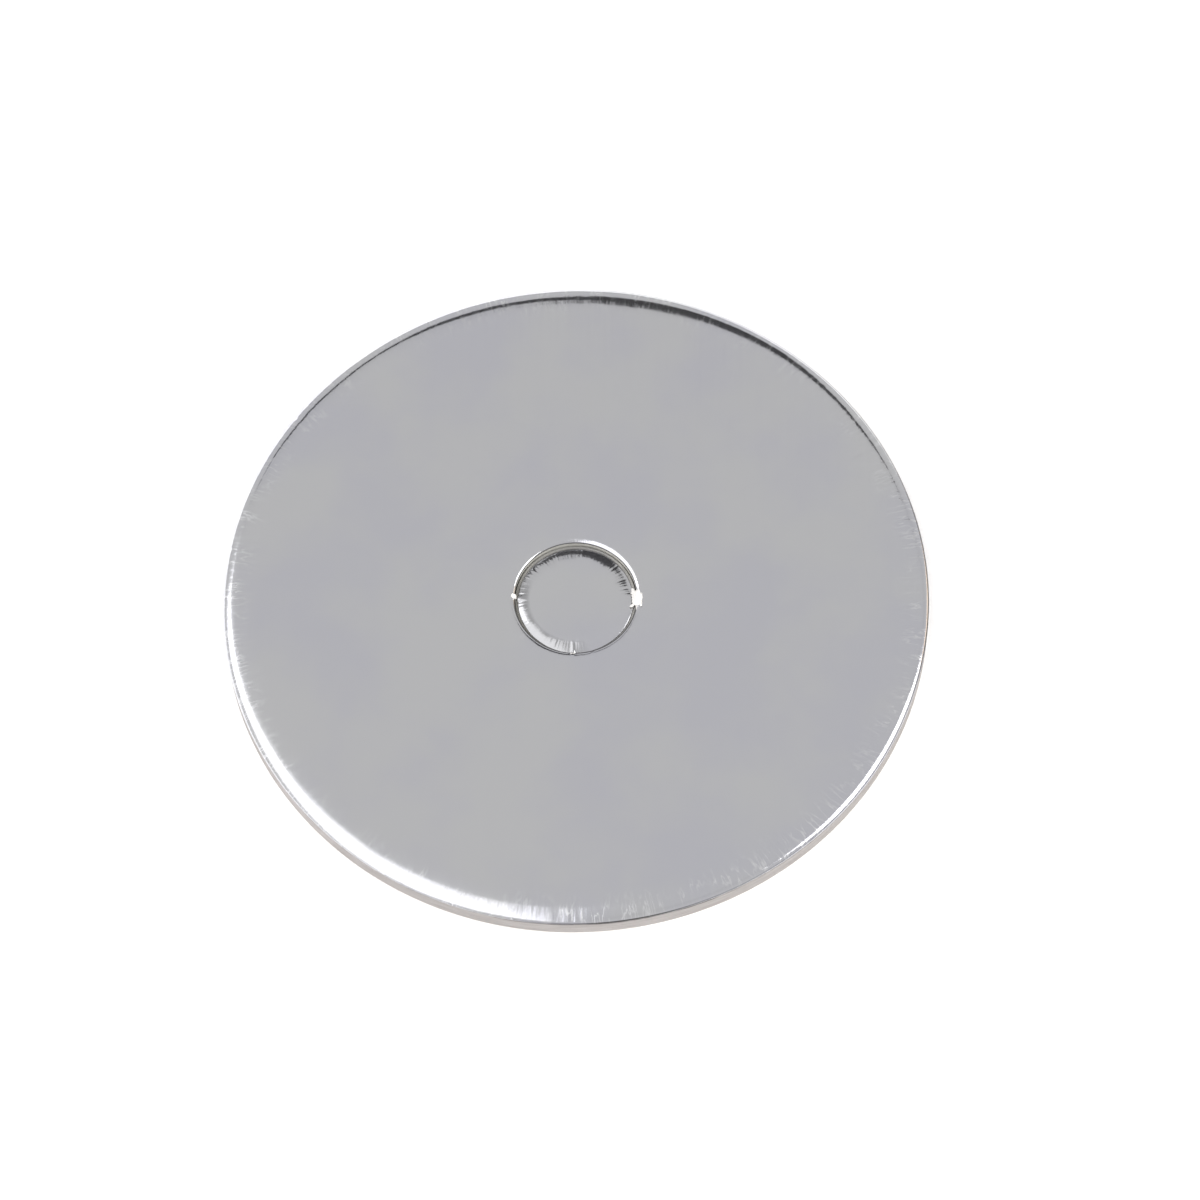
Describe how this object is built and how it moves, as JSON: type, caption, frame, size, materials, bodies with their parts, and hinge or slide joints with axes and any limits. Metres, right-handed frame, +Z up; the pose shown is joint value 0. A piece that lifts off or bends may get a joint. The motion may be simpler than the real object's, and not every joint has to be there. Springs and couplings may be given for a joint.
{
  "type": "coin display board",
  "caption": "Round foil-faced display board with a coin-sized centre plug, held by small nicks, that pushes out to leave the coin opening.",
  "frame": {"origin": "centre of the underside, on the surface the board lies on", "axes": "+Z up, out of the silver face and along the board's axis; -Y towards the six o'clock nick, +X towards the three o'clock nick"},
  "size_m": [0.104, 0.104, 0.0041],
  "materials": {
    "metallised_film": "vacuum-metallised silver film, satin mirror",
    "carrier_paper": "uncoated, cut edge only",
    "greyboard": "matt pulp board, cut edge",
    "back_paper": "matt white paper"
  },
  "bodies": {
    "board": {"board_face_film": "metallised_film", "board_face_paper": "carrier_paper", "board_upper_ply": "greyboard", "board_lower_ply": "greyboard", "board_back_paper": "back_paper"},
    "plug": {"plug_face_film": "metallised_film", "plug_face_paper": "carrier_paper", "plug_upper_ply": "greyboard", "plug_lower_ply": "greyboard", "plug_back_paper": "back_paper"}
  },
  "joints": [
    {"name": "plug_push_out", "type": "slide", "parent": "board", "child": "plug", "axis": [0, 0, 1], "range_m": [0, 0.015]}
  ]
}
